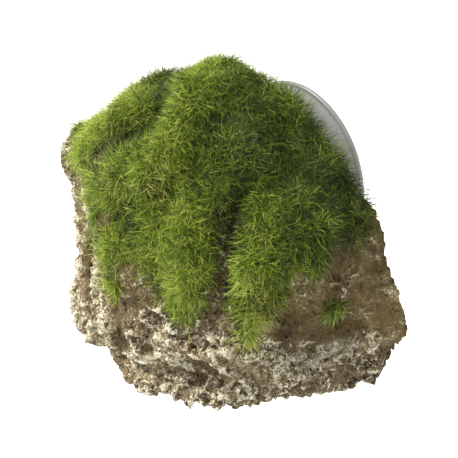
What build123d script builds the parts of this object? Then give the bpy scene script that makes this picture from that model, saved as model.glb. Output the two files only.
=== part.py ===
from build123d import *
from math import cos, hypot, radians, sin
import os

# Moss-covered resin rock that hangs on aquarium glass by one suction cup.
# Millimetres. Origin: centre of the suction cup's rim plane, which lies on the glass.
# +Y points into the glass, -Y is the front, +X is right seen from the front, +Z is up.

# Suction cup, turned about the Y axis
CUP_RIM_R = 25.0
CUP_LAND_R = 22.0          # inner edge of the flat sealing land
CUP_LIP_T = 0.9
CUP_HOLLOW = 4.8           # depth of the suction chamber
CUP_DOME = 8.6             # height of the dome where the nub starts
DOME_CURVE = [(19.5, -2.9), (12.5, -6.6)]              # radius, y between rim and nub
CHAMBER_CURVE = [(7.0, -4.4), (15.0, -2.6)]            # radius, y between axis and land
CHAMBER_TANGENTS = [(1, 0), (1, 0.35)]
NUB_R = 7.5
NUB_END = 12.7
NUB_EDGE_R = 0.8
NUB_BORE_END = 6.3

# Swivel stud and its bush
STUD_SPIGOT_R = 2.45
STUD_SPIGOT_END = 8.7      # leaves the bore room for the 4 mm press
STUD_SHANK_R = 3.0
STUD_HEAD_R = 5.4
STUD_HEAD_T = 2.2
STUD_CHAMFER = 0.4
FIT = 0.05                 # radial running clearance, stud in bush and spigot in nub
END_PLAY = 0.3
BUSH_R = 5.5
BUSH_FLANGE_R = 8.0
BUSH_FLANGE_T = 1.0
BOSS_SEAT = 2.0            # how far the boss runs into the plate

# Rock casting
BACK_Y = -14.0
WALL = 6.5
PLATE_T = 4.0
PLATE_LIP = 3.6            # rock left round the plate's pocket
GLUE_GAP = 0.4             # adhesive bead round the plate
BOSS_R = 10.0
BOSS_DEPTH = 4.5           # boss behind the plate
VENT_R = 2.0
VENT_X = 22.0
VENT_Z = -16.0

# Moss flock
FILM_T = 0.3               # adhesive film under the flock
MOSS_T = 3.0
TUFT_T = 2.0
MOSS_BACK_INSET = 1.0
MOSS_FACING = 50.0         # degrees from the front towards the right

# Rock faces: a point on each face and the direction it faces
FACETS = {
    "back": ((0, BACK_Y, 0), (0, 1, 0)),
    "base": ((0, -40, -44.5), (0, 0, -1)),
    "base_front": ((-8, -64, -42), (-0.05, -0.6, -0.8)),
    "base_right": ((38, -36, -43.5), (0.5, -0.3, -0.8)),
    "left": ((-44, -40, -12), (-1, 0, 0.06)),
    "left_low": ((-42, -50, -31), (-0.92, -0.25, -0.3)),
    "front_left": ((-22, -60, -24), (-0.3, -0.95, 0.1)),
    "front": ((12, -60, -22), (0.38, -0.92, 0.05)),
    "right": ((43, -32, -24), (0.83, -0.56, 0)),
    "right_low": ((51, -17, -34), (0.88, -0.25, -0.42)),
    "right_top": ((49.5, -16, -8), (0.9, -0.12, 0.4)),
    "roof_back": ((4, -17, 31), (0.1, 0.3, 0.93)),
    "roof_far_left": ((-34, -24, 19), (-0.72, 0.35, 0.65)),
    "roof_right": ((27, -22, 17.5), (0.5, -0.12, 0.8)),
    "roof_left": ((-24, -34, 25), (-0.38, -0.1, 0.9)),
    "roof_front": ((-8, -48, 20.5), (-0.05, -0.62, 0.78)),
    "roof_front_left": ((-34, -50, 9), (-0.45, -0.62, 0.62)),
    "roof_front_right": ((18, -48, 7.5), (0.45, -0.68, 0.6)),
    "brow": ((2, -61, -4), (0.15, -0.9, 0.35)),
}
BARE_BACK = ("back", "base")
STEEPEST_ROOF = 0.3        # faces that lean sideways less than this miss the back outline
BLOCK = 300.0              # larger than the rock, for cutting
CUT_PAST = 1.0             # how far a cut runs past a face

# Worn hollows in the casting: axis start, axis end, radius
HOLLOWS = {
    "gully": ((24.6, -54.2, 3), (30.2, -58.4, -22), 5.0),
    "right_scoop": ((40, -52, -26), (57, -27, -22), 11.0),
    "front_undercut": ((7, -73, -36), (32, -62.7, -34), 12.2),
}

# Lower edge of the moss seen from its facing direction: distance across, height
MOSS_EDGE = [
    (-75, 12), (-68, 10), (-65, 6), (-62, -12), (-59, -24), (-55, -23), (-51, -7), (-46, -4),
    (-42, -10), (-39, -21), (-34, -26), (-29, -16), (-25, 2), (-23, -8), (-20, -19),
    (-17, -23), (-12, -16), (-2, -7), (3, 0), (9, 5), (30, 6),
]
MOSS_TOP = 60.0
TUFT_PLACE = (7.5, -12.0)
TUFT_R = 3.2


def turned(outline):
    """Solid turned about the Y axis from an outline of edges or (radius, y) points."""
    edges = Polyline(*outline, close=True) if isinstance(outline, list) else outline
    return revolve(make_face(edges), Axis.Y)


def rock_block(grow=None, default=0.0):
    """The faceted rock, each face moved out by grow[name] or by default."""
    grow = grow or {}
    block = Box(BLOCK, BLOCK, BLOCK)
    for name, (point, direction) in FACETS.items():
        normal = Vector(*direction).normalized()
        face_point = Vector(*point) + normal * grow.get(name, default)
        block = split(block, Plane(face_point, z_dir=normal), keep=Keep.BOTTOM)
    return block


def back_prism(inset, depth):
    """Straight-sided slab behind the rock's back face, inset from that face's outline."""
    slab = Pos(0, BACK_Y - depth / 2, 0) * Box(BLOCK, depth, BLOCK)
    for name, (point, direction) in FACETS.items():
        across = hypot(direction[0], direction[2])
        if name == "back" or across < STEEPEST_ROOF:
            continue
        normal = Vector(direction[0] / across, 0, direction[2] / across)
        lean = direction[1] / across * (BACK_Y - point[1])
        side_point = Vector(point[0], BACK_Y, point[2]) - normal * (lean + inset)
        slab = split(slab, Plane(side_point, z_dir=normal), keep=Keep.BOTTOM)
    return slab


def rod(start, end, radius):
    """Round bar between two points."""
    axis = Vector(*end) - Vector(*start)
    return extrude(Plane(Vector(*start), z_dir=axis) * Circle(radius), axis.length)


def y_cylinder(radius, front, back, x=0.0, z=0.0):
    """Cylinder along Y between two y values."""
    middle = Pos(x, (front + back) / 2, z) * Rot(90, 0, 0)
    return middle * Cylinder(radius, back - front)


def rock_shell():
    """Hollow casting, open at the back, with a pocket for the back plate."""
    shell = rock_block()
    for start, end, radius in HOLLOWS.values():
        shell -= rod(start, end, radius)
    shell -= rock_block({"back": -PLATE_T}, -WALL)
    return shell - back_prism(PLATE_LIP, PLATE_T)


def back_plate():
    """Cast plate glued in the pocket, with a boss for the bush and two vent holes."""
    plate = back_prism(PLATE_LIP + GLUE_GAP, PLATE_T)
    boss_front = BACK_Y - PLATE_T - BOSS_DEPTH
    cut_back = BACK_Y + CUT_PAST
    plate += y_cylinder(BOSS_R, boss_front, BACK_Y - PLATE_T + BOSS_SEAT)
    plate -= y_cylinder(BUSH_R, boss_front - CUT_PAST, cut_back)
    for side in (-1, 1):
        plate -= y_cylinder(VENT_R, BACK_Y - PLATE_T - CUT_PAST, cut_back, side * VENT_X, VENT_Z)
    return plate


def plate_glue_bead():
    """Adhesive between the plate's edge and the pocket's wall."""
    return back_prism(PLATE_LIP, PLATE_T) - back_prism(PLATE_LIP + GLUE_GAP, PLATE_T)


def socket_bush():
    """Flanged plastic bush bonded in the plate's boss."""
    inner_end = BACK_Y - PLATE_T - BOSS_DEPTH
    flange_face = BACK_Y + BUSH_FLANGE_T
    bore = STUD_SHANK_R + FIT
    return turned([
        (bore, inner_end), (BUSH_R, inner_end), (BUSH_R, BACK_Y), (BUSH_FLANGE_R, BACK_Y),
        (BUSH_FLANGE_R, flange_face), (bore, flange_face),
    ])


def swivel_stud():
    """Stud with its head inside the rock and its spigot in the cup's nub."""
    head_face = BACK_Y - PLATE_T - BOSS_DEPTH - END_PLAY
    head_end = head_face - STUD_HEAD_T
    shoulder = BACK_Y + BUSH_FLANGE_T
    tip = -STUD_SPIGOT_END
    return turned([
        (0, head_end), (STUD_HEAD_R - STUD_CHAMFER, head_end),
        (STUD_HEAD_R, head_end + STUD_CHAMFER), (STUD_HEAD_R, head_face),
        (STUD_SHANK_R, head_face), (STUD_SHANK_R, shoulder), (STUD_SPIGOT_R, shoulder),
        (STUD_SPIGOT_R, tip - STUD_CHAMFER), (STUD_SPIGOT_R - STUD_CHAMFER, tip), (0, tip),
    ])


def suction_cup():
    """Soft cup: a thin dome with a flat sealing land and a nub with a blind bore."""
    bore = STUD_SPIGOT_R + FIT
    dome = Spline((CUP_RIM_R, -CUP_LIP_T), *DOME_CURVE, (NUB_R, -CUP_DOME))
    chamber = Spline(
        (0, -CUP_HOLLOW), *CHAMBER_CURVE, (CUP_LAND_R, 0), tangents=CHAMBER_TANGENTS,
    )
    nub = Polyline(
        (NUB_R, -CUP_DOME), (NUB_R, -NUB_END + NUB_EDGE_R), (NUB_R - NUB_EDGE_R, -NUB_END),
        (bore, -NUB_END), (bore, -NUB_BORE_END), (0, -NUB_BORE_END), (0, -CUP_HOLLOW),
    )
    land = Polyline((CUP_LAND_R, 0), (CUP_RIM_R, 0), (CUP_RIM_R, -CUP_LIP_T))
    return turned(dome + nub + chamber + land)


def facing_plane():
    """Vertical plane whose normal is the moss's facing direction."""
    turn = radians(MOSS_FACING)
    return Plane((0, 0, 0), x_dir=(cos(turn), sin(turn), 0), z_dir=(sin(turn), -cos(turn), 0))


def moss_curtain():
    """Column of space above the moss's lower edge."""
    ends = [(MOSS_EDGE[-1][0], MOSS_TOP), (MOSS_EDGE[0][0], MOSS_TOP)]
    outline = Polyline(*MOSS_EDGE, *ends, close=True)
    return extrude(facing_plane() * make_face(outline), BLOCK / 2, both=True)


def tuft_column():
    """Column of space round the small tuft on the right-hand face."""
    spot = facing_plane() * Pos(*TUFT_PLACE, 0) * Circle(TUFT_R)
    return extrude(spot, BLOCK / 2)


def skin(inner, outer):
    """Layer over the rock's visible faces between two heights above the surface."""
    kept = {name: -MOSS_BACK_INSET for name in BARE_BACK}
    return rock_block(kept, outer) - rock_block({name: inner for name in BARE_BACK}, inner)


def moss_glue():
    """Adhesive film under the main moss."""
    return skin(0, FILM_T) & moss_curtain()


def moss_mat():
    """Flock cover of the rock's top, with its tongues running down the front."""
    return skin(FILM_T, MOSS_T) & moss_curtain()


def tuft_glue():
    """Dab of adhesive under the small tuft."""
    return skin(0, FILM_T) & tuft_column()


def moss_tuft():
    """Small separate flock tuft low on the right-hand face."""
    return skin(FILM_T, TUFT_T) & tuft_column()


PARTS = [
    suction_cup, swivel_stud, socket_bush, back_plate, plate_glue_bead, rock_shell,
    moss_glue, moss_mat, tuft_glue, moss_tuft,
]


def main():
    os.makedirs("parts", exist_ok=True)
    for make in PARTS:
        export_step(make(), f"parts/{make.__name__}.step")


main()
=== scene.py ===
import math

import bmesh
import bpy
import numpy as np
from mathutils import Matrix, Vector


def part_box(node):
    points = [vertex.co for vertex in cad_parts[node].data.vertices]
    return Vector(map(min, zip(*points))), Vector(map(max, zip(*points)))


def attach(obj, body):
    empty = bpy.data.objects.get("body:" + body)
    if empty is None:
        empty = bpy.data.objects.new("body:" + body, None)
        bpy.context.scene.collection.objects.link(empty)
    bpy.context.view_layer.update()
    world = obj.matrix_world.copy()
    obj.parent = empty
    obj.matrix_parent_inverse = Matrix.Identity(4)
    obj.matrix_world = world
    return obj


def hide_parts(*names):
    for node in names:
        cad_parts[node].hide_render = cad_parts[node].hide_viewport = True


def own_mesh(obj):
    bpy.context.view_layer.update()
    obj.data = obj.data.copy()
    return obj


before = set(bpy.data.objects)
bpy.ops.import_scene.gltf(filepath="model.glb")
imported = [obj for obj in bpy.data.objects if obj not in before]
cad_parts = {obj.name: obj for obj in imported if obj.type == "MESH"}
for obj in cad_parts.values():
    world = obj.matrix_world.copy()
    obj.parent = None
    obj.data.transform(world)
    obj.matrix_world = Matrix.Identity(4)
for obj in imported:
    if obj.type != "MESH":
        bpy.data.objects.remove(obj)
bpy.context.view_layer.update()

# Moss-covered resin rock on a suction cup. Every position is in the CAD frame. Lengths are
# millimetres, and meshes are scaled to metres when they are made. Only the lamps' places and
# sizes, and the heights and texture scales in the materials, are in metres.
MM = 0.001

# Camera, with its angles in degrees
VIEW_AZIMUTH = 50.0
VIEW_ELEVATION = 32.0
CAMERA_TARGET = (-5.98, -22.36, -15.67)
CAMERA_DISTANCE = 365.5
LENS_MM = 100.0
SENSOR_MM = 36.0
NEAR_CLIP = 10.0

# Floor
FLOOR_DROP = 130.0         # clear space under the rock, which hangs on glass
FLOOR_HALF = 12000.0       # half the length of the floor's sides

# Rock mesh
VOXEL = 1.3
RIM_SIZE = 7.5             # size of the crust's bowls
WEB_SIZE = 2.7             # size of the finer web inside them
ROUNDING_STEPS = 10        # smoothing passes that round the casting's edges
EVENING_STEPS = 2          # smoothing passes after the mesh is made finer
LEVEL_STEPS = 16           # averaging passes that give the level round each point
SWELL = 0.6                # makes up for what the rounding takes off
BACK_FLAT = 0.2            # no relief within this distance of the flat back
BACK_BLEND = 2.8           # full relief beyond this distance from it

# The mesh is made finer in two passes, each where the moss's share is under a limit. The
# second pass takes only what faces the show side.
FINE_LIMITS = (0.92, 0.70)
SHOW_SIDE = (0.64, -0.6, 0.48)
SHOW_LIMIT = -0.05

# Adhesive film
FILM_T = 0.25
FILM_COVER = 0.62          # least share of moss on the film's faces

# Moss. Each fibre is three-sided, and tapers from ring to ring to a point.
MOSS_FACING = 50.0         # azimuth that the moss is laid out from, in degrees
MOSS_SEED = 2024
FIBRE_COUNT = 72000
FIBRE_PIECES = 6
FIBRE_LENGTH = 4.6
FIBRE_WIDTH = 0.125
FIBRE_RINGS = ((0.0, 1.0), (0.36, 0.92), (0.70, 0.62))     # share of the length, taper
FIBRE_SIDES = 3
FIBRE_VERTS = len(FIBRE_RINGS) * FIBRE_SIDES + 1
LOW_LIFTS = (3, 44)        # degrees that most fibres rise from the rock
STEEP_LIFT = 58            # and that the others rise
STEEP_SHARE = 0.15
COOL_SHARE = 0.025         # fibres of a bluer green
TUFT_COUNT = 260
TUFT_MIDDLE = (44.4, -30.0, -11.2)
TUFT_R = 3.0

# Lower edge of the moss seen from its facing direction: distance across, height
MOSS_EDGE = [
    (-75, 16), (-68, 14), (-65, 12), (-62.5, 4), (-59.5, 1), (-56.5, -2), (-54.6, -8),
    (-53.2, -17), (-50.6, -18.5), (-49.2, -12), (-48, -8), (-46.5, -5), (-45, -4), (-42, -8), (-39, -13),
    (-36, -17), (-34, -19), (-30, -16), (-27.5, -8), (-25, 1), (-23.5, 7), (-21.0, 5),
    (-19.8, -10), (-18.0, -19), (-15, -19), (-12.0, -14), (-9, -12), (-7, -6), (-5.5, 2),
    (-3, 0), (0, -2), (2, 0), (4, 6), (6, 8), (9, 5.5), (12, 4.5), (18, 8), (30, 14),
]

LEFT_MOSS_EDGE = 12        # height of the edge on the rock's left side

# Broad ridges and hollows over the casting's faces: path, reach, height. A form is highest on
# its path and fades out round it, to about a third of its height at its reach.
FORMS = {
    "crest": ([(-9, -24, 32), (-4, -34, 32), (-3, -40, 27), (0, -44, 24), (-1, -49, 20),
               (1, -54, 14)], 2.9, 2.0),
    "peak": ([(-23, -18, 28), (-18, -17, 30)], 3.6, 1.6),
    "crest_hollow": ([(-10, -42, 26), (-11, -47, 21), (-16, -49, 18)], 4.2, -2.6),
    "crown_hollow": ([(5, -38, 28), (8, -44, 21)], 5.0, -1.8),
    "crown_corner": ([(-43, -38, 14), (-40, -35, 17), (-34, -40, 19)], 4.8, -3.7),
    "crown_hump": ([(-35, -29, 20), (-31, -25, 23)], 3.4, 2.4),
    "crown_saddle": ([(-28, -22, 24), (-24, -19, 26)], 3.4, -2.0),
    "crown_back": ([(-12, -17, 31), (-7, -17, 32)], 4.0, -1.8),
    "crown_right": ([(12, -16, 28), (18, -16, 25)], 4.0, 0.8),
    "shoulder": ([(-44, -48, 4), (-44, -38, 8)], 6.0, 2.6),
    "gully": ([(21, -42, 12), (24, -46, 5), (26, -50, 0), (28, -52, -7)], 3.8, -3.8),
    "left_tongue": ([(14, -52, 6), (18, -56, -6), (17, -58, -21)], 3.4, 1.5),
    "right_tongue": ([(26, -41, 10), (30, -47, -1), (32, -50, -18)], 4.0, 1.8),
    "far_tongue": ([(-14, -60, 0), (-12, -63, -22)], 3.2, 1.2),
    "left_rim": ([(-33, -57, -9), (-33, -58, -28)], 5.0, -2.0),
    "left_strip": ([(-21.5, -59, -12), (-21, -60, -21), (-21, -60.5, -29)], 2.4, -3.6),
    "bowl": ([(20, -58, -39), (22, -56, -34), (26, -54, -31)], 3.0, -2.0),
    "left_cave": ([(-3, -65, -18), (0, -65.5, -28), (2, -65, -36)], 3.0, -2.0),
    "scoop_hollow": ([(38, -40, -17), (40, -37, -25), (46, -28, -20)], 4.0, -2.6),
    "right_hollow": ([(44, -29, -21), (47, -25, -19)], 4.0, -0.9),
    "right_edge": ([(44, -15, 6), (49, -15, -4), (53, -15, -12)], 4.5, 1.0),
    "undercut": ([(21, -58, -38), (25, -55, -36), (32, -49, -34)], 3.0, -2.4),
    "knob": ([(12.8, -60, -30), (14.5, -59.5, -31.5)], 2.0, 3.4),
    "knob_shadow": ([(10, -62, -35), (14, -61, -35)], 2.2, -2.2),
    "shelf": ([(16, -59, -29), (21, -57, -26), (25, -54, -23), (29, -52, -23)], 2.2, 2.0),
    "scoop_lip": ([(35, -44, -27), (37, -41, -33), (41, -35, -33), (45, -29, -28), (49, -23, -24)],
                  2.2, 1.8),
    "left_lip": ([(28, -54, -43), (33, -47, -43)], 3.5, 0.5),
    "foot_step": ([(26, -55, -43), (33, -47, -43), (37, -42, -43)], 4.0, -1.8),
    "right_foot": ([(43, -31, -43), (46, -25, -42), (50, -18, -42)], 4.0, -3.8),
    "left_foot": ([(6, -64, -46), (12, -62, -45), (19, -58, -44)], 3.8, 1.6),
    "left_step": ([(-14, -65, -38), (-5, -67, -38), (0, -66, -40)], 4.0, -3.0),
    "left_heel_end": ([(-34, -58, -44)], 4.0, -1.0),
    "foot_toe": ([(31, -50, -44)], 2.4, 2.6),
    "left_toe": ([(2, -65, -44), (5, -64, -46)], 3.4, 4.0),
    "rim_right": ([(18, -15, 25), (30, -15, 18)], 3.5, 1.2),
    "left_waist": ([(-46, -51, -8), (-45, -53, -20), (-43, -56, -30)], 7.0, -4.2),
    "left_heel": ([(-36, -57, -42)], 5.0, 1.2),
    "right_bulge": ([(55, -16, -15), (55, -16, -22)], 3.6, 1.2),
    "right_nick": ([(54, -14, -29.5)], 3.2, -6.0),
    "right_notch": ([(54, -15, -28), (52, -16, -34), (50, -18, -40), (51, -24, -31)], 3.6, -2.8),
}

# Narrow pale crust lines that stand up from the casting: path, reach, height
CRUST_LINES = {
    "knob": ([(11.5, -61, -31), (12.8, -60, -28.5), (15.5, -59, -30.5), (15, -59, -34)], 1.2, 0.9),
    "ledge": ([(16, -59, -29), (19, -57, -28), (22, -56, -25), (24, -55, -21.5), (27, -54, -19.5),
               (29, -52, -22), (32, -50, -26), (34, -47, -25), (36, -43, -22), (38, -40, -27)], 0.9, 1.2),
    "scoop_lip": ([(37, -41, -24), (37.6, -40, -31.5), (40, -36, -34.5), (42.3, -33, -28.5),
                   (45.5, -28, -25.5), (48.4, -24, -22.6), (50.8, -20.5, -21.6)], 1.0, 0.9),
    "drip_1": ([(39.5, -37, -18), (40, -37, -24), (40.5, -36, -32)], 0.7, 0.8),
    "drip_2": ([(44.5, -30, -19), (44.7, -29.5, -26)], 0.8, 0.8),
    "drip_3": ([(46, -27, -19), (46.5, -26, -27)], 0.7, 0.6),
    "drip_4": ([(50.5, -20, -18), (49.5, -21, -25)], 0.7, 0.7),
    "foot_ring": ([(29, -52, -27), (31, -50, -32), (30, -50, -38), (34, -45, -41), (36, -42, -36)],
                  0.7, 0.9),
    "left_rim": ([(-36, -57, -38), (-27, -60, -36), (-16, -63, -30), (-14, -63, -34)], 0.9, 1.0),
    "cave_rim": ([(-9, -65, -20), (-8, -65, -29), (-5, -66, -35)], 1.0, 1.0),
    "cave_side": ([(4.5, -63, -20), (5.5, -63, -29), (6.5, -63, -36)], 0.8, 0.9),
    "foot_bowl": ([(8, -62, -34), (10, -61, -40), (17, -59, -42), (22, -57, -38)], 0.7, 0.8),
}

# Where the paint is chalky and pale (strength above 0), or smooth, browner and darker, which in the
# hollows and under the lips is painted shade (strength below 0): path, reach, strength
CHALK_AND_SHADE = {
    "left_side": ([(-36, -57, -40), (-30, -59, -38)], 5.0, 0.9),
    "left_rib": ([(-13, -63, -14), (-12, -64, -22), (-9, -65, -30), (-14, -63, -35)], 3.0, 1.0),
    "shoulder": ([(-44, -48, 3), (-42, -52, -8), (-38, -55, -16), (-34, -57, -26)], 4.0, 0.9),
    "under_moss": ([(4, -63, -26), (11, -61, -27)], 3.5, 0.4),
    "middle": ([(4, -63, -36), (10, -61, -39)], 4.0, 0.5),
    "knob": ([(12.8, -60, -29), (14.5, -59.5, -31.5), (16, -59, -37)], 2.4, 1.6),
    "under_tongue": ([(8, -62, -22), (14, -60, -24)], 3.0, 0.7),
    "ledge": (CRUST_LINES["ledge"][0], 2.0, 0.9),
    "ledge_top": ([(22, -56, -23), (29, -53, -21)], 2.2, 0.8),
    "scoop_lip": (FORMS["scoop_lip"][0], 2.4, 1.0),
    "foot": ([(8, -62, -42), (30, -51, -41), (37, -40, -41)], 3.0, 0.6),
    "foot_middle": ([(26, -54, -27), (30, -51, -30), (28, -53, -38)], 3.0, 0.5),
    "right_foot": ([(37, -40, -31), (44, -30, -27), (49, -22, -26)], 4.0, 0.7),
    "tongue_side": ([(35, -44, -20), (36, -42, -11), (40, -37, -6)], 2.8, 0.5),
    "far_side": ([(52, -17, -2), (54, -17, -12)], 4.0, 0.3),
    # entries with a strength under 0 are painted shade in hollows and under lips
    "left_cave": ([(-3, -65, -14), (-3, -66, -21), (0, -65, -28), (1, -65, -32)], 3.2, -1.2),
    "cave_foot": ([(3, -65, -36), (8, -62, -37)], 3.0, 0.7),
    "cave_right": ([(3, -64, -18), (5, -63, -24)], 2.6, -0.6),
    "left_strip": ([(-22, -59, -13), (-21, -60, -21), (-21, -60.5, -29)], 3.2, -1.2),
    "left_low": ([(4, -64, -44)], 3.5, -0.6),
    "bowl": ([(19, -58, -40), (22, -56, -34), (26, -54, -31)], 3.4, -1.1),
    "bowl_right": ([(31, -49, -28), (33, -47, -33)], 2.6, -0.6),
    "gully_foot": ([(28, -52, -12), (27, -53, -17)], 2.6, 0.3),
    "scoop": ([(38, -40, -14), (40, -37, -20), (44, -30, -18)], 4.5, -0.7),
    "scoop_under": ([(37, -41, -38), (43, -32, -39), (48, -23, -38)], 3.2, -0.8),
}

# Where the bare rock carries the moss's green and brown wash, which in the narrow left gap is painted
# shade: path, reach, strength
WASH_AND_SHADE = {
    # painted shade in the narrow groove on the left
    "left_gap_shade": ([(-22, -59, -13), (-21, -60, -21), (-21, -60.5, -28)], 2.6, 1.0),
    "left_strip": ([(-3, -66, -19), (0, -65, -28)], 2.6, 0.35),
    "gully_side": ([(37, -42, -5), (41, -36, -5)], 3.0, 0.60),
    "scoop": ([(41, -35, -15), (45, -29, -13), (48, -24, -15)], 3.4, 0.55),
    "far_side": ([(46, -22, 2), (50, -16, 0)], 4.0, 0.50),
}

# Where the flock is made brighter or duller: painted highlight on the lit crest, tongues and left edge,
# painted shade in the hollows, the gully and on the right side away from the light, with some of the
# flock's own differences in tone: path, reach, strength
MOSS_TONES_AND_LIGHT = {
    "crest": ([(-6, -28, 33), (-1, -36, 31), (1, -41, 27), (4, -46, 22)], 4.0, 0.04),
    "crest_flank": ([(-28, -24, 25), (-20, -30, 28), (-14, -37, 28)], 4.6, -0.50),
    "left_edge": ([(-36, -46, 12), (-32, -51, 9), (-29, -55, 5), (-24, -58, -4)], 6.0, 0.31),
    "left_shoulder": ([(-40, -38, 16), (-34, -42, 18), (-29, -42, 21)], 4.6, 0.34),
    "far_tongue": ([(-9, -60, -4), (-5, -63, -18)], 4.0, 0.26),
    "left_tongue": ([(6, -56, 8), (16, -57, -8), (17, -58, -22)], 4.2, 0.12),
    "left_tongue_side": ([(20, -55, -2), (19, -56, -12)], 2.6, 0.25),
    "right_tongue": ([(27, -37, 13), (29, -42, 6), (31, -47, -2), (32, -49, -14), (33, -48, -18)],
                     4.0, 0.36),
    "right_tongue_side": ([(30.5, -48, -1), (33, -46, -6), (34, -45, -11), (33, -47, -17)], 3.6, 0.50),
    "crest_left": ([(-8, -43, 25), (-10, -46, 22), (-14, -49, 19), (-18, -51, 15)], 4.0, -0.85),
    "crest_streak": ([(-4, -32, 33), (-3, -38, 29), (0, -44, 24), (1, -49, 19), (2, -53, 13)], 3.0, 0.25),
    "crown_hollow": ([(5, -38, 28), (8, -44, 20)], 6.0, -0.20),
    "gully": ([(21, -43, 10), (24, -46, 5), (26, -49.5, 0), (28, -52, -5), (27, -53, -22)], 4.6, -1.05),
    "upper_right": ([(2, -21, 32), (12, -32, 25), (18, -38, 16)], 8.0, -0.26),
    "right_side": ([(24, -20, 22), (36, -34, 6), (40, -22, 8)], 13.0, -0.36),
    "left_middle": ([(-3, -57, 7), (-1, -58, 1)], 3.6, -0.35),
    "right_rim": ([(30, -16, 16), (38, -17, 11)], 5.0, -0.20),
}

# Where the flock is worn thin: path, reach, strength
WORN_SPOTS = {
    "gully": ([(21, -43, 10), (24, -46, 5), (26, -49.5, 0), (28, -51, -5), (28, -52, -14),
               (27, -53, -24)], 3.9, 1.0),
    "brow": ([(3, -54, 14), (6, -54, 10)], 3.6, 1.0),
    "brow_right": ([(7, -47, 17.5)], 3.4, 0.95),
    "left": ([(-20, -53, 17), (-17, -56, 13), (-15, -58, 9)], 4.4, 1.0),
    "left_edge": ([(-33, -54, 3), (-25, -57, 6)], 3.8, 1.0),
    "crown": ([(-25, -34, 24), (-30, -32, 22)], 4.2, 1.0),
    "corner": ([(-36, -37, 20), (-40, -34, 18)], 2.8, 0.8),
    "back_edge": ([(-9, -15, 32), (6, -15, 32)], 2.4, 0.8),
    "left_tip": ([(10, -60, -8), (13, -59, -12), (14, -59, -18)], 2.6, 1.0),
    "left_tip_end": ([(19, -57, -14)], 2.2, 0.9),
    "right_tip": ([(34, -45, -4), (34, -45, -8)], 3.6, 1.0),
    "far_edge": ([(44, -14, 9)], 2.2, 0.8),
    "far_right": ([(38, -18, 12), (42, -18, 9)], 2.6, 0.6),
}


# ---------------------------------------------------------------- noise

class Noise:
    """Seeded gradient noise over points in millimetres."""

    def __init__(self, seed):
        rng = np.random.default_rng(seed)
        self.table = rng.permutation(256)
        self.slopes = rng.normal(size=(256, 3))
        self.slopes /= np.linalg.norm(self.slopes, axis=1, keepdims=True)
        self.jitter = rng.random((256, 3))

    def key(self, cell):
        """A fixed random number from 0 to 255 for each cell."""
        i, j, k = (cell[:, n] & 255 for n in range(3))
        table = self.table
        return table[(table[(table[i] + j) & 255] + k) & 255]

    def plain(self, points):
        cell = np.floor(points).astype(int)
        part = points - cell
        ease = part * part * part * (part * (part * 6 - 15) + 10)
        total = np.zeros(len(points))
        for corner in np.ndindex(2, 2, 2):
            step = np.array(corner)
            weight = np.prod(np.where(step, ease, 1 - ease), axis=1)
            slope = self.slopes[self.key(cell + step)]
            total += weight * np.einsum("ij,ij->i", slope, part - step)
        return total * 1.6

    def layered(self, points, octaves, gain=0.5):
        """Noise with finer and finer noise added to it."""
        total, size = 0.0, 1.0
        for n in range(octaves):
            total = total + size * self.plain(points * 2.0**n + 17.3 * n)
            size *= gain
        return total

    def vector(self, points):
        return np.stack([self.plain(points + s) for s in (0.0, 31.7, 67.9)], axis=1)

    def cells(self, points):
        """Distance to the nearest of scattered points, and to the border between two."""
        cell = np.floor(points).astype(int)
        near, after = np.full(len(points), 9.0), np.full(len(points), 9.0)
        for step in np.ndindex(3, 3, 3):
            other = cell + np.array(step) - 1
            gap = np.linalg.norm(other + self.jitter[self.key(other)] - points, axis=1)
            after = np.minimum(after, np.maximum(near, gap))
            near = np.minimum(near, gap)
        return near, (after - near) / 2


def smooth(low, high, value):
    """0 at low and 1 at high, with a soft start and end."""
    t = np.clip((value - low) / (high - low), 0, 1)
    return t * t * (3 - 2 * t)


LUMPS = Noise(11)
GRAIN = Noise(23)
CRUST = Noise(37)
DRIFT = Noise(53)
PATCH = Noise(71)


# ---------------------------------------------------------------- meshes

def coordinates(mesh):
    """The mesh's vertices in millimetres."""
    flat = np.empty(len(mesh.vertices) * 3, np.float32)
    mesh.vertices.foreach_get("co", flat)
    return flat.reshape(-1, 3).astype(float) / MM


def set_coordinates(mesh, points):
    mesh.vertices.foreach_set("co", (points * MM).astype(np.float32).ravel())
    mesh.update()


def vertex_normals(mesh):
    flat = np.empty(len(mesh.vertices) * 3, np.float32)
    mesh.vertex_normals.foreach_get("vector", flat)
    return flat.reshape(-1, 3).astype(float)


def edge_pairs(mesh):
    pairs = np.empty(len(mesh.edges) * 2, np.int32)
    mesh.edges.foreach_get("vertices", pairs)
    return pairs.reshape(-1, 2)


def averaged(values, pairs, steps):
    """Values at the vertices, each mixed with its neighbours' mean several times."""
    a, b = pairs[:, 0], pairs[:, 1]
    count = len(values)
    degree = np.bincount(a, minlength=count) + np.bincount(b, minlength=count)
    for _ in range(steps):
        total = np.bincount(a, values[b], count) + np.bincount(b, values[a], count)
        values = 0.5 * values + 0.5 * total / degree
    return values


def relax(mesh, weight, steps):
    """Smooths a mesh where weight is 1 and keeps it where weight is 0."""
    pairs = edge_pairs(mesh)
    points = coordinates(mesh)
    for _ in range(steps):
        moved = np.stack([averaged(points[:, n], pairs, 1) for n in range(3)], axis=1)
        points = points + (moved - points) * weight[:, None]
    set_coordinates(mesh, points)


def set_attribute(mesh, name, values):
    layer = mesh.attributes.get(name) or mesh.attributes.new(name, "FLOAT", "POINT")
    layer.data.foreach_set("value", np.asarray(values, np.float32))


def new_object(name, mesh, material, body):
    """A visible piece that moves with a body."""
    piece = bpy.data.objects.new(name, mesh)
    bpy.context.scene.collection.objects.link(piece)
    mesh.materials.clear()
    mesh.materials.append(material)
    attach(piece, body)
    return piece


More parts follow.
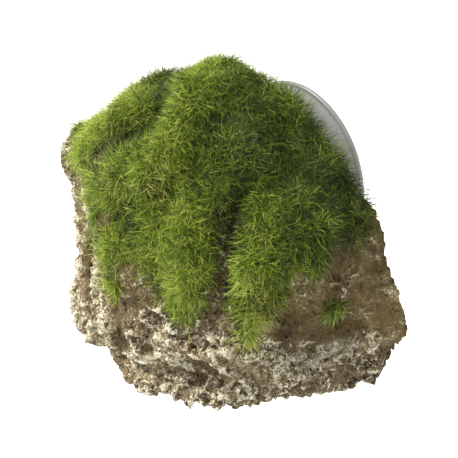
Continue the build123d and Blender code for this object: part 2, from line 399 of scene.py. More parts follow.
def mesh_from(name, points, faces):
    """A smooth mesh from points in millimetres."""
    mesh = bpy.data.meshes.new(name)
    mesh.from_pydata((np.asarray(points) * MM).tolist(), [], faces)
    mesh.update()
    mesh.shade_smooth()
    return mesh


def unit(vectors):
    return vectors / np.maximum(np.linalg.norm(vectors, axis=1, keepdims=True), 1e-9)


def tangent(vectors, normals):
    """The vectors without their part along the normals."""
    return vectors - normals * np.einsum("ij,ij->i", vectors, normals)[:, None]


# ---------------------------------------------------------------- node materials

class Graph:
    """Short way to build a node tree."""

    def __init__(self, name):
        self.material = bpy.data.materials.new(name)
        self.material.use_nodes = True
        self.tree = self.material.node_tree
        self.shader = self.tree.nodes["Principled BSDF"]

    def node(self, kind, **settings):
        made = self.tree.nodes.new("ShaderNode" + kind)
        for key, value in settings.items():
            setattr(made, key, value)
        return made

    def link(self, source, target):
        self.tree.links.new(source, target)

    def feed(self, socket, value):
        if isinstance(value, bpy.types.NodeSocket):
            self.link(value, socket)
        else:
            socket.default_value = value

    def shade(self, **values):
        for key, value in values.items():
            self.feed(self.shader.inputs[key.replace("_", " ")], value)

    def position(self):
        return self.node("TexCoord").outputs["Object"]

    def height(self):
        split = self.node("SeparateXYZ")
        self.link(self.position(), split.inputs["Vector"])
        return split.outputs["Z"]

    def noise(self, scale, detail=4.0, roughness=0.55, distortion=0.0):
        made = self.node("TexNoise")
        self.link(self.position(), made.inputs["Vector"])
        made.inputs["Scale"].default_value = scale
        made.inputs["Detail"].default_value = detail
        made.inputs["Roughness"].default_value = roughness
        made.inputs["Distortion"].default_value = distortion
        return made.outputs["Fac"]

    def warped(self, scale, amount):
        """Position pushed about by a noise; the amount is in millimetres."""
        push = self.node("TexNoise")
        self.link(self.position(), push.inputs["Vector"])
        push.inputs["Scale"].default_value = scale
        push.inputs["Detail"].default_value = 4.0
        moved = self.node("VectorMath", operation="MULTIPLY_ADD")
        self.link(push.outputs["Color"], moved.inputs[0])
        moved.inputs[1].default_value = (2 * amount * MM,) * 3
        self.link(self.position(), moved.inputs[2])
        return moved.outputs["Vector"]

    def cells(self, scale, feature, place):
        made = self.node("TexVoronoi", feature=feature)
        self.link(place, made.inputs["Vector"])
        made.inputs["Scale"].default_value = scale
        return made.outputs["Distance"]

    def attribute(self, name):
        return self.node("Attribute", attribute_name=name).outputs["Fac"]

    def maths(self, operation, a, b):
        made = self.node("Math", operation=operation)
        for socket, value in zip(made.inputs, (a, b)):
            self.feed(socket, value)
        return made.outputs[0]

    def weighted(self, *terms):
        """Sum of value and weight pairs."""
        total = None
        for value, weight in terms:
            part = self.maths("MULTIPLY", value, weight)
            total = part if total is None else self.maths("ADD", total, part)
        return total

    def spread(self, value, low, high, to_low=0.0, to_high=1.0):
        made = self.node("MapRange", interpolation_type="SMOOTHSTEP")
        names = ("Value", "From Min", "From Max", "To Min", "To Max")
        for key, item in zip(names, (value, low, high, to_low, to_high)):
            self.feed(made.inputs[key], item)
        return made.outputs["Result"]

    def ramp(self, value, stops):
        made = self.node("ValToRGB")
        self.link(value, made.inputs["Fac"])
        points = made.color_ramp.elements
        while len(points) < len(stops):
            points.new(0.5)
        for point, (place, colour) in zip(points, stops):
            point.position = place
            point.color = (*colour, 1)
        return made.outputs["Color"]

    def mix(self, share, a, b, blend="MIX"):
        made = self.node("Mix", data_type="RGBA", blend_type=blend)
        for socket, value in zip((made.inputs[0], made.inputs[6], made.inputs[7]), (share, a, b)):
            self.feed(socket, (*value, 1) if isinstance(value, tuple) else value)
        return made.outputs[2]

    def bump(self, height, depth, strength=1.0, normal=None):
        """Bump of a depth in millimetres."""
        made = self.node("Bump")
        made.inputs["Strength"].default_value = strength
        made.inputs["Distance"].default_value = depth * MM
        self.link(height, made.inputs["Height"])
        if normal is not None:
            self.link(normal, made.inputs["Normal"])
        return made.outputs["Normal"]


def crust_textures(g, rough):
    """Fine crust: its veins, lace and pits, and how strongly the paint's grain shows."""
    place = g.warped(420, 1.1)
    crusty = g.spread(rough, 0.05, 0.8)
    web = g.spread(g.cells(300, "DISTANCE_TO_EDGE", place), 0.09, 0.01)
    web = g.maths("MULTIPLY", web, g.spread(g.noise(230, 3), 0.40, 0.56))
    lace = g.spread(g.cells(760, "DISTANCE_TO_EDGE", place), 0.18, 0.02)
    lace = g.maths("MULTIPLY", lace, g.spread(g.noise(380, 4), 0.40, 0.58))
    pits = g.spread(g.cells(620, "F1", place), 0.38, 0.12)
    pits = g.maths("MULTIPLY", pits, g.spread(g.noise(330, 3, 0.5, 0.3), 0.48, 0.62))
    veins = g.maths("MULTIPLY", g.weighted((web, 0.50), (lace, 0.42)), crusty)
    contrast = g.maths("ADD", g.maths("MULTIPLY", crusty, 0.5), 0.5)
    return veins, lace, pits, contrast


def rock_material():
    """Painted resin: taupe, with pale dry-brushed crusts, dark washes in its pits that are partly painted
    shade, and painted shade in its broader hollows.
    """
    g = Graph("rock_resin")
    names = ("crust", "cavity", "chalk_and_shade", "rough", "moss")
    crust, cavity, chalk_and_shade, rough, moss = (g.attribute(name) for name in names)
    grit = g.maths("SUBTRACT", g.noise(1000, 8, 0.75, 0.4), 0.5)
    speck = g.maths("SUBTRACT", g.noise(2600, 4, 0.7), 0.5)
    broad = g.maths("SUBTRACT", g.noise(80, 5, 0.6, 0.5), 0.5)
    veins, lace, pits, contrast = crust_textures(g, rough)
    micro = g.weighted((grit, 1.2), (speck, 1.35), (veins, 0.40), (pits, -0.36))
    # the cavity term is dark wash that is partly painted shade, and chalk under 0 is painted shade in
    # hollows
    level = g.weighted((g.maths("MULTIPLY", micro, contrast), 1.0), (crust, 0.22),
                       (cavity, -0.26), (broad, 0.8), (chalk_and_shade, 0.11))
    level = g.maths("ADD", level, 0.42)
    base = g.ramp(level, [
        (0.05, (0.016, 0.011, 0.005)), (0.25, (0.062, 0.042, 0.020)),
        (0.43, (0.148, 0.110, 0.058)), (0.60, (0.265, 0.207, 0.115)),
        (0.80, (0.43, 0.37, 0.235)), (0.98, (0.64, 0.585, 0.40)),
    ])
    stain = g.spread(g.noise(130, 4, 0.6, 1.0), 0.53, 0.66, 0.0, 0.5)
    base = g.mix(stain, base, (0.60, 0.44, 0.27), "MULTIPLY")
    # darker and yellower on the smooth rock above a height of -20 mm
    smooth_upper_darkening = g.maths("MULTIPLY", g.spread(rough, 0.80, 0.25), g.spread(g.height(), -0.030, -0.020))
    base = g.mix(smooth_upper_darkening, base, (0.70, 0.65, 0.47), "MULTIPLY")
    pale = g.weighted((crust, 0.68), (chalk_and_shade, 0.24), (veins, 0.80), (pits, -0.38),
                      (grit, 1.7), (speck, 1.5), (cavity, -0.45), (smooth_upper_darkening, -0.08))
    cream_level = g.weighted((grit, 1.4), (speck, 1.4), (lace, 0.3), (pits, -0.3), (crust, 0.06))
    cream = g.ramp(cream_level, [
        (0.0, (0.45, 0.40, 0.265)), (0.16, (0.69, 0.64, 0.46)), (0.42, (0.90, 0.86, 0.69)),
    ])
    base = g.mix(g.spread(pale, 0.33, 0.78), base, cream)
    # green-brown from the moss and its wash, and painted shade in the left gap
    algae_and_shade = g.weighted((moss, 1.0), (g.noise(300, 4, 0.6), 0.5))
    brown = g.mix(g.spread(g.noise(160, 3), 0.42, 0.60), (0.060, 0.062, 0.012), (0.105, 0.074, 0.030))
    base = g.mix(g.spread(algae_and_shade, 0.40, 1.1, 0.0, 0.85), base, brown)
    normal = g.bump(grit, 0.9, 1.0)
    normal = g.bump(g.weighted((veins, 1.0), (pits, -1.0)), 0.35, 1.0, normal)
    normal = g.bump(speck, 0.3, 0.8, normal)
    g.shade(Base_Color=base, Roughness=g.spread(speck, -0.2, 0.2, 0.72, 0.95), Normal=normal)
    g.shader.inputs["Specular IOR Level"].default_value = 0.2
    return g.material


def film_material():
    """Dark matt adhesive under the flock, browner in patches; its darkness is partly painted shade
    between the fibres.
    """
    g = Graph("flock_adhesive")
    # the adhesive's near-black colour partly stands in for the shade between the fibres: painted shade
    tone = g.weighted((g.noise(90, 4, 0.6), 0.6), (g.noise(900, 4, 0.7), 0.4))
    colour = g.ramp(tone, [
        (0.36, (0.010, 0.012, 0.002)), (0.50, (0.026, 0.029, 0.006)),
        (0.62, (0.060, 0.048, 0.018)), (0.74, (0.11, 0.082, 0.040)),
    ])
    g.shade(Base_Color=colour, Roughness=g.spread(tone, 0.3, 0.7, 0.7, 0.95),
            Normal=g.bump(g.noise(1200, 3), 0.3))
    return g.material


def fibre_material():
    """Nylon flock: colour by fibre, with painted shade making it darker at the root."""
    g = Graph("moss_flock")
    tint, cool, along = (g.attribute(name) for name in ("tint", "cool", "along"))
    colour = g.ramp(tint, [
        (0.05, (0.015, 0.022, 0.002)), (0.30, (0.063, 0.097, 0.006)),
        (0.55, (0.165, 0.247, 0.013)), (0.80, (0.332, 0.442, 0.030)),
        (1.0, (0.56, 0.60, 0.14)),
    ])
    colour = g.mix(cool, colour, (0.045, 0.21, 0.085))
    # painted shade: each fibre darkens towards its root, inside the flock
    root = g.spread(along, 0.0, 0.60, 0.12, 1.0)
    colour = g.mix(root, (0.022, 0.026, 0.006), colour)
    g.shade(Base_Color=colour, Roughness=g.spread(tint, 0.0, 1.0, 0.48, 0.34))
    g.shader.inputs["Specular IOR Level"].default_value = 0.3
    return g.material


def cup_material():
    """Milky soft PVC, with painted shade making it darker towards the cup's top."""
    g = Graph("clear_pvc")
    cloud = g.noise(70, 4, 0.55)
    # painted shade: the colour darkens with height over the cup
    level = g.maths("ADD", g.maths("MULTIPLY", cloud, 0.3), g.spread(g.height(), 0.025, 0.001))
    colour = g.ramp(level, [(0.1, (0.20, 0.205, 0.20)), (0.7, (0.35, 0.355, 0.34)),
                            (0.92, (0.43, 0.435, 0.415))])
    g.shade(Base_Color=colour, Roughness=g.spread(cloud, 0.3, 0.7, 0.40, 0.50),
            Normal=g.bump(g.noise(120, 3), 0.08))
    g.shader.inputs["Transmission Weight"].default_value = 0.3
    g.shader.inputs["IOR"].default_value = 1.5
    return g.material


def moulded_material(name, dark, light, roughness, grain_scale):
    """Plain moulded or cast stuff with a faint grain."""
    g = Graph(name)
    tone = g.noise(grain_scale, 5, 0.6)
    g.shade(Base_Color=g.ramp(tone, [(0.3, dark), (0.7, light)]),
            Roughness=g.spread(tone, 0.3, 0.7, roughness - 0.08, roughness + 0.08),
            Normal=g.bump(g.noise(grain_scale * 2, 3), 0.05))
    return g.material


# ---------------------------------------------------------------- rock form

BACK_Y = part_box("rock_shell")[1].y / MM
ROCK_MIDDLE = np.array((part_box("rock_shell")[0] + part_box("rock_shell")[1]) / 2) / MM


def facing_coordinates(points):
    """Distance across and height as seen from the moss's facing direction."""
    turn = math.radians(MOSS_FACING)
    return points[:, 0] * math.cos(turn) + points[:, 1] * math.sin(turn), points[:, 2]


def near_path(points, path):
    """Distance from each point to a path."""
    best = np.full(len(points), 1e9)
    path = np.array(path, float)
    starts, ends = (path[:-1], path[1:]) if len(path) > 1 else (path, path)
    for start, end in zip(starts, ends):
        along = end - start
        share = (points - start) @ along / max(along @ along, 1e-9)
        foot = start + np.clip(share, 0, 1)[:, None] * along
        best = np.minimum(best, np.linalg.norm(points - foot, axis=1))
    return best


def forms_at(points, forms):
    """Sum of path-shaped forms, each path wandering a little."""
    wander = points + 1.1 * DRIFT.vector(points / 3.0) + 0.5 * DRIFT.vector(points / 1.2 + 7)
    total = np.zeros(len(points))
    for path, reach, height in forms.values():
        total += height * np.exp(-((near_path(wander, path) / reach) ** 2))
    return total


def clumps(points):
    """How thickly the flock stands: 1 in a clump and less between, down to 0 at the far left."""
    across = facing_coordinates(points)[0]
    patch = smooth(-0.16, 0.12, PATCH.layered(points / 4.6 + 3, 2))
    sparse = 0.35 + 0.65 * smooth(-30, -56, across)
    return 1 - sparse * (1 - patch)


def moss_share(points, normals, worn=True):
    """How far each point lies inside the moss, 0 to 1, with or without its worn spots."""
    across, height = facing_coordinates(points)
    edge = np.interp(across, *zip(*MOSS_EDGE))
    left = smooth(0.5, 0.8, -normals[:, 0])
    edge = edge * (1 - left) + LEFT_MOSS_EDGE * left
    edge = edge + DRIFT.plain(points / 3.1) + DRIFT.plain(points / 9.0 + 5)
    share = smooth(-1.8, 6.5, height - edge)
    if worn:
        share = share * (1 - np.clip(forms_at(points, WORN_SPOTS), 0, 1))
    # none at the flat back, nor on the seat of the back plate
    return share * smooth(BACK_Y, BACK_Y - 0.5, points[:, 1]) * smooth(0.9, 0.7, normals[:, 1])


def remeshed(source, voxel):
    """A copy of a CAD node's mesh made of even quads."""
    copy = bpy.data.objects.new("remesh_source", source.data.copy())
    bpy.context.scene.collection.objects.link(copy)
    change = copy.modifiers.new("even", "REMESH")
    change.mode = "VOXEL"
    change.voxel_size = voxel * MM
    view = bpy.context.evaluated_depsgraph_get()
    mesh = bpy.data.meshes.new_from_object(copy.evaluated_get(view), depsgraph=view)
    bpy.data.objects.remove(copy)
    return mesh


def subdivided(mesh, chosen):
    """Halves the edges of the faces whose vertices are all chosen."""
    form = bmesh.new()
    form.from_mesh(mesh)
    form.verts.ensure_lookup_table()
    faces = [f for f in form.faces if all(chosen[v.index] for v in f.verts)]
    edges = dict.fromkeys(e for f in faces for e in f.edges)
    bmesh.ops.subdivide_edges(form, edges=list(edges), cuts=1, use_grid_fill=True)
    form.to_mesh(mesh)
    form.free()
    mesh.update()


def faces_out(points, normals):
    """Whether each point is on the outside of the shell."""
    return np.einsum("ij,ij->i", normals, points - ROCK_MIDDLE) > 0


def off_back(points):
    """0 at the rock's flat back, 1 well in front of it."""
    return smooth(BACK_Y - BACK_FLAT, BACK_Y - BACK_BLEND, points[:, 1])


def outer_share(points, normals):
    """1 on the rock's outer surface, 0 inside the shell and at its flat back."""
    return faces_out(points, normals) * off_back(points)


def outward(points, normals):
    """Way in which relief moves each outer point: its normal, but sideways at the flat back."""
    fade = off_back(points)[:, None]
    flat = normals * (1, 0, 1)
    away = np.einsum("ij,ij->i", flat, unit((points - ROCK_MIDDLE) * (1, 0, 1)))
    sideways = flat * smooth(0.3, 0.7, away)[:, None]
    return faces_out(points, normals)[:, None] * (normals * fade + sideways * (1 - fade))


def rock_base():
    """The casting with rounded edges, finest where it is bare and faces the show side."""
    mesh = remeshed(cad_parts["rock_shell"], VOXEL)
    outer = outer_share(coordinates(mesh), vertex_normals(mesh))
    relax(mesh, outer, ROUNDING_STEPS)
    for number, limit in enumerate(FINE_LIMITS):
        points, normals = coordinates(mesh), vertex_normals(mesh)
        outer = outer_share(points, normals)
        bare = (outer > 0) & (moss_share(points, normals) < limit)
        if number == 1:
            bare &= normals @ np.array(SHOW_SIDE) > SHOW_LIMIT
        subdivided(mesh, bare)
    outer = outer_share(coordinates(mesh), vertex_normals(mesh))
    relax(mesh, outer, EVENING_STEPS)
    return mesh


def broad_relief(points, moss):
    """Height of the rock's lumps, ridges and hollows over the casting's faces."""
    across, height = facing_coordinates(points)
    lumps = 1.5 * LUMPS.layered(points / 17.0, 3) + LUMPS.layered(points / 7.0 + 40, 2)
    stretched = np.stack([across / 5.5, height / 18.0, points[:, 1] / 30.0], axis=1)
    folds = 1.2 * DRIFT.plain(stretched + 3) * moss
    return lumps + folds + forms_at(points, FORMS)


def roughness_map(points):
    """How crusty the bare rock is: most at the foot and left, least at the right."""
    across, height = facing_coordinates(points)
    right = smooth(-20, 2, across) * smooth(-33, -26, height)
    patch = smooth(-0.30, 0.15, PATCH.layered(points / 9.0, 2))
    return (1 - 0.58 * right) * (0.50 + 0.50 * patch)


def crust_relief(points):
    """Height of the crusty texture, and how far each point lies on its pale raised rims."""
    warped = points + 1.9 * CRUST.vector(points / 6.0) + 0.6 * CRUST.vector(points / 1.7)
    # shallow bowls rise to the borders between cells, where pale rims and finer webs stand up
    border = RIM_SIZE * CRUST.cells(warped / RIM_SIZE)[1]
    fine = WEB_SIZE * CRUST.cells(warped / WEB_SIZE + 20)[1]
    rims = np.exp(-((border / 0.38) ** 2)) * smooth(-0.20, 0.15, PATCH.layered(points / 6.0 + 9, 2))
    webs = np.exp(-((fine / 0.27) ** 2)) * smooth(-0.10, 0.25, PATCH.layered(points / 3.0 + 15, 2))
    bowls = smooth(2.4, 0.0, border)
    # then small terraces, round pits and grain
    steps = 1.9 * PATCH.layered(warped / 9.0 + 4, 3)
    part = steps - np.floor(steps)
    steps = np.floor(steps) + smooth(0.36, 0.64, part) - steps
    pits = smooth(0.46, 0.12, CRUST.cells(warped / 3.0 + 60)[0])
    pits = pits * smooth(-0.1, 0.25, PATCH.plain(points / 5.0 + 30))
    grain = GRAIN.layered(points / 1.4, 3, 0.65)
    height = 1.5 * bowls + 0.65 * rims + 0.35 * webs + steps - 0.8 * pits + 0.24 * grain
    return height - 0.6, rims + 0.45 * webs


def unbroken(points):
    """0 in the short gaps of the long crust lines, 1 elsewhere."""
    return smooth(-0.45, 0.10, PATCH.layered(points / 2.0 + 50, 3))


def add_broad_relief(mesh):
    """Moves the casting's faces, and gives how far each point was inside the moss."""
    points, normals = coordinates(mesh), vertex_normals(mesh)
    moss = moss_share(points, normals)
    broad = SWELL + broad_relief(points, moss)
    set_coordinates(mesh, points + outward(points, normals) * broad[:, None])
    return moss


def add_fine_relief(mesh, outer):
    """Moves the bare rock's surface, and stores at each point what its paint depends on."""
    points, normals = coordinates(mesh), vertex_normals(mesh)
    area = moss_share(points, normals, worn=False)
    # above 0 chalky paint; below 0 painted shade in hollows, which also smooths the relief there
    chalk_and_shade = np.clip(forms_at(points, CHALK_AND_SHADE), -1, 1) * (1 - area)
    rough = roughness_map(points) * (1 - 0.75 * area) * (1 + 0.75 * np.minimum(chalk_and_shade, 0))
    rough = rough + 0.3 * np.maximum(chalk_and_shade, 0)
    lines = forms_at(points, CRUST_LINES) * outer * (1 - area) * unbroken(points)
    relief, rims = crust_relief(points)
    detail = relief * rough + lines
    set_coordinates(mesh, points + outward(points, normals) * detail[:, None])
    standing = detail - averaged(detail, edge_pairs(mesh), LEVEL_STEPS)
    standing = standing / standing[rough > 0.5].std()
    crust = np.maximum(rims * rough, 1.2 * lines) + 0.24 * smooth(0.6, 2.4, standing)
    crust = crust * (1 - 0.8 * area)
    set_attribute(mesh, "crust", np.clip(crust, 0, 1.2) * outer)
    # cavity: the paint's dark wash in the pits, which is partly painted shade there
    set_attribute(mesh, "cavity", smooth(0.4, 2.2, -standing) * outer)
    set_attribute(mesh, "chalk_and_shade", chalk_and_shade)
    set_attribute(mesh, "rough", rough)
    # the wash table adds the moss's green-brown, and painted shade in the left gap
    set_attribute(mesh, "moss", np.clip(area + forms_at(points, WASH_AND_SHADE), 0, 1) * outer)


def build_rock():
    """The casting, with how far each of its outer points lies inside the moss."""
    mesh = rock_base()
    outer = outer_share(coordinates(mesh), vertex_normals(mesh))
    moss = add_broad_relief(mesh)
    add_fine_relief(mesh, outer)
    mesh.shade_smooth()
    rock = new_object("rock_shell_cast", mesh, rock_material(), "rock")
    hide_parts("rock_shell")
    return rock, moss * outer


# ---------------------------------------------------------------- moss

def build_film(rock, moss):
    """The adhesive under the flock, a thin closed layer on the mossy part of the rock."""
    form = bmesh.new()
    form.from_mesh(rock.data)
    form.verts.ensure_lookup_table()
    covered = moss * clumps(coordinates(rock.data))
    bare = [f for f in form.faces if min(covered[v.index] for v in f.verts) < FILM_COVER]
    bmesh.ops.delete(form, geom=bare, context="FACES")
    bmesh.ops.solidify(form, geom=form.faces[:], thickness=-FILM_T * MM)
    bmesh.ops.recalc_face_normals(form, faces=form.faces)
    form.verts.index_update()
    points = np.array([v.co for v in form.verts], float) / MM
    # sorted, because solidify makes the film's rim in no fixed order
    faces = sorted([v.index for v in f.verts] for f in form.faces)
    form.free()
    mesh = mesh_from("moss_glue_film", points, faces)
    film = new_object("moss_glue_film", mesh, film_material(), "rock")
    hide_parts("moss_glue", "tuft_glue")
    return film


def scattered(mesh, weight, count, rng):
    """Points spread over a mesh in proportion to a weight, with the normals there."""
    mesh.calc_loop_triangles()
    corners = np.empty(len(mesh.loop_triangles) * 3, np.int32)
    mesh.loop_triangles.foreach_get("vertices", corners)
    corners = corners.reshape(-1, 3)
    points, normals = coordinates(mesh), vertex_normals(mesh)
    a, b, c = (points[corners[:, n]] for n in range(3))
    share = np.linalg.norm(np.cross(b - a, c - a), axis=1) * weight[corners].mean(axis=1)
    pick = rng.choice(len(share), count, p=share / share.sum())
    u, v = rng.random(count), rng.random(count)
    over = u + v > 1
    u, v = np.where(over, 1 - u, u), np.where(over, 1 - v, v)
    weights = np.stack([1 - u - v, u, v], axis=1)[:, :, None]
    place = (points[corners[pick]] * weights).sum(axis=1)
    return place, unit((normals[corners[pick]] * weights).sum(axis=1))


def fibre_faces():
    """Faces of one fibre, as rows of its own vertex numbers."""
    faces = [(2, 1, 0)]
    for ring in range(len(FIBRE_RINGS) - 1):
        for k in range(FIBRE_SIDES):
            a, b = ring * FIBRE_SIDES + k, ring * FIBRE_SIDES + (k + 1) % FIBRE_SIDES
            faces.append((a, b, b + FIBRE_SIDES, a + FIBRE_SIDES))
    tip, last = FIBRE_VERTS - 1, FIBRE_VERTS - 1 - FIBRE_SIDES
    for k in range(FIBRE_SIDES):
        faces.append((last + k, last + (k + 1) % FIBRE_SIDES, tip))
    return faces


def brush_up(roots):
    """How strongly fibres along the right of the back edge stand up and lean back, 0 to 0.8."""
    rim = smooth(BACK_Y - 6, BACK_Y - 1, roots[:, 1]) * smooth(-12, 9, roots[:, 0])
    return 0.8 * rim * (1 - 0.5 * smooth(16, 26, roots[:, 0]))


def fibre_points(roots, normals, rng):
    """Vertices of tapered, curved, three-sided fibres."""
    # comb is the way each fibre lies along the rock, and start the way it leaves its root
    count = len(roots)
    down = np.array([0.0, 0.0, -1.0])
    swirl = DRIFT.vector(roots / 9.0) * 1.2 + DRIFT.vector(roots / 3.2 + 13) * 0.7
    stray = rng.normal(size=(count, 3))
    comb = unit(tangent(down * 0.45 + swirl + stray, normals))
    steep = rng.random(count) < STEEP_SHARE
    lift = np.radians(np.where(steep, STEEP_LIFT, rng.uniform(*LOW_LIFTS, count)))[:, None]
    start = normals * np.sin(lift) + comb * np.cos(lift)
    rim = brush_up(roots)[:, None]
    start = unit(start + rim * (0.8 * normals + np.array([0.0, 0.7, 0.0])))
    length = FIBRE_LENGTH * rng.uniform(0.55, 1.3, count)[:, None]
    bend = rng.uniform(-0.1, 0.65, count)[:, None] * (1 - 0.7 * rim)
    # the fibre then bends towards its sag
    sag = comb * 0.35 - normals * 0.5 + down * 0.15 + stray * 0.2
    side = unit(np.cross(start, normals + 0.3 * stray))
    other = unit(np.cross(start, side))
    width = FIBRE_WIDTH * rng.uniform(0.75, 1.35, count)[:, None]
    rings = []
    for share, taper in FIBRE_RINGS:
        centre = roots + (start * share + sag * bend * share**2) * length
        for k in range(FIBRE_SIDES):
            turn = 2 * math.pi * k / FIBRE_SIDES
            ring = side * math.cos(turn) + other * math.sin(turn)
            rings.append(centre + ring * width * taper / 2)
    rings.append(roots + (start + sag * bend) * length)
    return np.stack(rings, axis=1).reshape(-1, 3)


def fibre_uvs(mesh, count):
    """A small cell of the map for each fibre, root to tip going up the cell."""
    columns = math.ceil(math.sqrt(count))
    ring_u = [(k + 0.7) / (FIBRE_SIDES + 0.4) for k in range(FIBRE_SIDES)] * len(FIBRE_RINGS)
    ring_v = [0.15 + 0.7 * share for share, _ in FIBRE_RINGS for _ in range(FIBRE_SIDES)]
    cell_u, cell_v = np.array(ring_u + [0.5]), np.array(ring_v + [0.85])
    verts = np.empty(len(mesh.loops), np.int32)
    mesh.loops.foreach_get("vertex_index", verts)
    fibre, part = verts // FIBRE_VERTS, verts % FIBRE_VERTS
    u = (fibre % columns + cell_u[part]) / columns
    v = (fibre // columns + cell_v[part]) / columns
    layer = mesh.uv_layers.new(name="OFBake")
    layer.data.foreach_set("uv", np.stack([u, v], axis=1).astype(np.float32).ravel())


def fibre_bundle(name, roots, normals, rng, material):
    """One piece of flock: its fibres, their colours and their map."""
    count = len(roots)
    points = fibre_points(roots, normals, rng)
    offsets = FIBRE_VERTS * np.arange(count)[:, None]
    faces = []
    for face in fibre_faces():
        faces += (np.array(face) + offsets).tolist()
    mesh = mesh_from(name, points, faces)
    tint = 0.52 + rng.normal(0, 0.27, count) + 0.20 * PATCH.layered(roots / 6.0, 2)
    # the table's tones are partly painted highlight and painted shade
    tint = tint + forms_at(roots, MOSS_TONES_AND_LIGHT)
    cool = np.where(rng.random(count) < COOL_SHARE, 0.35, 0.0)
    along = [share for share, _ in FIBRE_RINGS for _ in range(FIBRE_SIDES)] + [1.0]
    set_attribute(mesh, "tint", np.repeat(np.clip(tint, 0, 1), FIBRE_VERTS))
    set_attribute(mesh, "cool", np.repeat(cool, FIBRE_VERTS))
    set_attribute(mesh, "along", np.tile(along, count))
    fibre_uvs(mesh, count)
    return new_object(name, mesh, material, "rock")


def build_moss(rock, moss):
    """The flock in a few pieces from left to right, and the small tuft on the right face."""
    rng = np.random.default_rng(MOSS_SEED)
    points = coordinates(rock.data)
    roots, normals = scattered(rock.data, moss * clumps(points), FIBRE_COUNT, rng)
    order = np.argsort(facing_coordinates(roots)[0])
    material = fibre_material()
    for part, chosen in enumerate(np.array_split(order, FIBRE_PIECES)):
        name = f"moss_mat_fibres_{part + 1}"
        fibre_bundle(name, roots[chosen], normals[chosen], rng, material)
    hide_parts("moss_mat")
    near = np.exp(-((near_path(points, [TUFT_MIDDLE]) / (0.6 * TUFT_R)) ** 2))
    roots, normals = scattered(rock.data, near * (near > 0.05), TUFT_COUNT, rng)
    tuft = fibre_bundle("moss_tuft_fibres", roots, normals, rng, material)
    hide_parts("moss_tuft")


# ---------------------------------------------------------------- cup

# Outlines as radius and y: outside from the rim to the nub's bore, and the chamber
CUP_OUTER = [(25.0, 0.0), (25.15, -0.45), (24.9, -0.95), (24.4, -1.15), (24.05, -1.0),
             (23.7, -1.1), (23.2, -1.45), (21.5, -2.0),
             (19.5, -2.9), (16.5, -4.5), (13.5, -6.2), (10.5, -7.6), (8.3, -8.4),
             (7.6, -8.9), (7.5, -10.5), (7.45, -11.9), (7.1, -12.5), (6.5, -12.7),
             (3.4, -12.7), (2.65, -12.6), (2.52, -12.0), (2.52, -6.6), (2.2, -6.3), (0.0, -6.3)]
CUP_INNER = [(0.0, -4.8), (4.0, -4.7), (7.0, -4.4), (11.0, -3.6), (15.0, -2.6),
             (19.0, -1.2), (21.6, -0.25), (22.3, 0.0)]
CUP_SIDES = 160


def build_cup():
    """The soft cup, turned about Y from its inner and outer outlines."""
    points, faces, loops = [], [], []
    for radius, y in CUP_INNER + CUP_OUTER:
        sides = CUP_SIDES if radius else 1
        loops.append([len(points) + k for k in range(sides)])
        for k in range(sides):
            turn = 2 * math.pi * k / sides
            points.append((radius * math.cos(turn), y, radius * math.sin(turn)))
    for first, second in zip(loops[:-1], loops[1:]):
        for k in range(CUP_SIDES):
            n = (k + 1) % CUP_SIDES
            corners = [first[k % len(first)], first[n % len(first)],
                       second[n % len(second)], second[k % len(second)]]
            faces.append(tuple(dict.fromkeys(corners)))
    mesh = mesh_from("suction_cup_soft", points, faces)
    form = bmesh.new()
    form.from_mesh(mesh)
    bmesh.ops.recalc_face_normals(form, faces=form.faces)
    form.to_mesh(mesh)
    form.free()
    cup = new_object("suction_cup_soft", mesh, cup_material(), "cup")
    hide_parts("suction_cup")
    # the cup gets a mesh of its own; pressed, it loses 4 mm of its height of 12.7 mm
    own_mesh(cup)


# ---------------------------------------------------------------- hidden pieces

# Node: material, dark and light colour, roughness, scale of the grain
HIDDEN_PIECES = {
    "swivel_stud": ("stud_plastic", (0.58, 0.58, 0.55), (0.66, 0.66, 0.63), 0.4, 500),
    "socket_bush": ("bush_plastic", (0.012, 0.012, 0.012), (0.03, 0.03, 0.03), 0.45, 500),
    "back_plate": ("plate_resin", (0.10, 0.08, 0.055), (0.24, 0.20, 0.15), 0.85, 260),
    "plate_glue_bead": ("epoxy", (0.22, 0.17, 0.09), (0.34, 0.28, 0.17), 0.4, 500),
}


def paint_hidden_pieces():
    """Materials for the CAD pieces that are seen as they are."""
    for node, look in HIDDEN_PIECES.items():
        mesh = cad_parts[node].data
        mesh.materials.clear()
        mesh.materials.append(moulded_material(*look))


# ---------------------------------------------------------------- studio

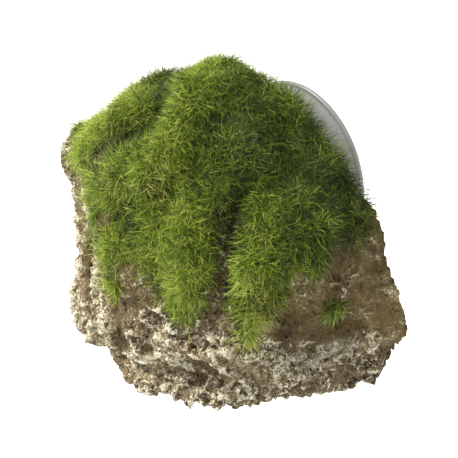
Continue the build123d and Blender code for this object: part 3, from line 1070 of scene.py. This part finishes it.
def add_area(name, place, target, size, power, colour=(1, 1, 1)):
    """A round lamp that faces its target, with places and size in metres."""
    data = bpy.data.lights.new(name, "AREA")
    data.shape = "DISK"
    data.size = size
    data.energy = power
    data.color = colour
    lamp = bpy.data.objects.new(name, data)
    lamp.location = place
    lamp.rotation_euler = (Vector(target) - Vector(place)).to_track_quat("-Z", "Y").to_euler()
    bpy.context.scene.collection.objects.link(lamp)


def build_floor():
    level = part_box("rock_shell")[0].z - FLOOR_DROP * MM
    half = FLOOR_HALF * MM
    mesh = bpy.data.meshes.new("floor")
    corners = [(-half, -half, level), (half, -half, level), (half, half, level), (-half, half, level)]
    mesh.from_pydata(corners, [], [(0, 1, 2, 3)])
    g = Graph("floor")
    tone = g.ramp(g.noise(3, 2), [(0.3, (0.86, 0.86, 0.86)), (0.7, (0.88, 0.88, 0.88))])
    g.shade(Base_Color=tone, Roughness=0.9)
    mesh.materials.append(g.material)
    floor = bpy.data.objects.new("floor", mesh)
    bpy.context.scene.collection.objects.link(floor)


def build_lights():
    world = bpy.data.worlds.new("studio")
    world.use_nodes = True
    background = world.node_tree.nodes["Background"]
    background.inputs["Color"].default_value = (1, 1, 1, 1)
    background.inputs["Strength"].default_value = 0.62
    bpy.context.scene.world = world
    centre = (0, -0.03, 0)
    add_area("key", (-1.05, -1.25, 1.75), centre, 0.7, 120, (1.0, 0.98, 0.94))
    add_area("fill", (1.6, -0.7, 0.8), centre, 1.2, 8)
    add_area("rim", (0.3, 1.4, 1.4), centre, 1.0, 14)


def build_camera():
    azimuth, elevation = math.radians(VIEW_AZIMUTH), math.radians(VIEW_ELEVATION)
    back = Vector((math.sin(azimuth) * math.cos(elevation),
                   -math.cos(azimuth) * math.cos(elevation), math.sin(elevation)))
    data = bpy.data.cameras.new("camera")
    data.lens = LENS_MM
    data.sensor_width = SENSOR_MM
    data.clip_start = NEAR_CLIP * MM
    camera = bpy.data.objects.new("camera", data)
    camera.location = Vector(CAMERA_TARGET) * MM + back * CAMERA_DISTANCE * MM
    camera.rotation_euler = back.to_track_quat("Z", "Y").to_euler()
    bpy.context.scene.collection.objects.link(camera)
    bpy.context.scene.camera = camera


rock, moss = build_rock()
build_film(rock, moss)
build_moss(rock, moss)
build_cup()
paint_hidden_pieces()
build_floor()
build_lights()
build_camera()
bpy.context.scene.view_settings.view_transform = "Standard"
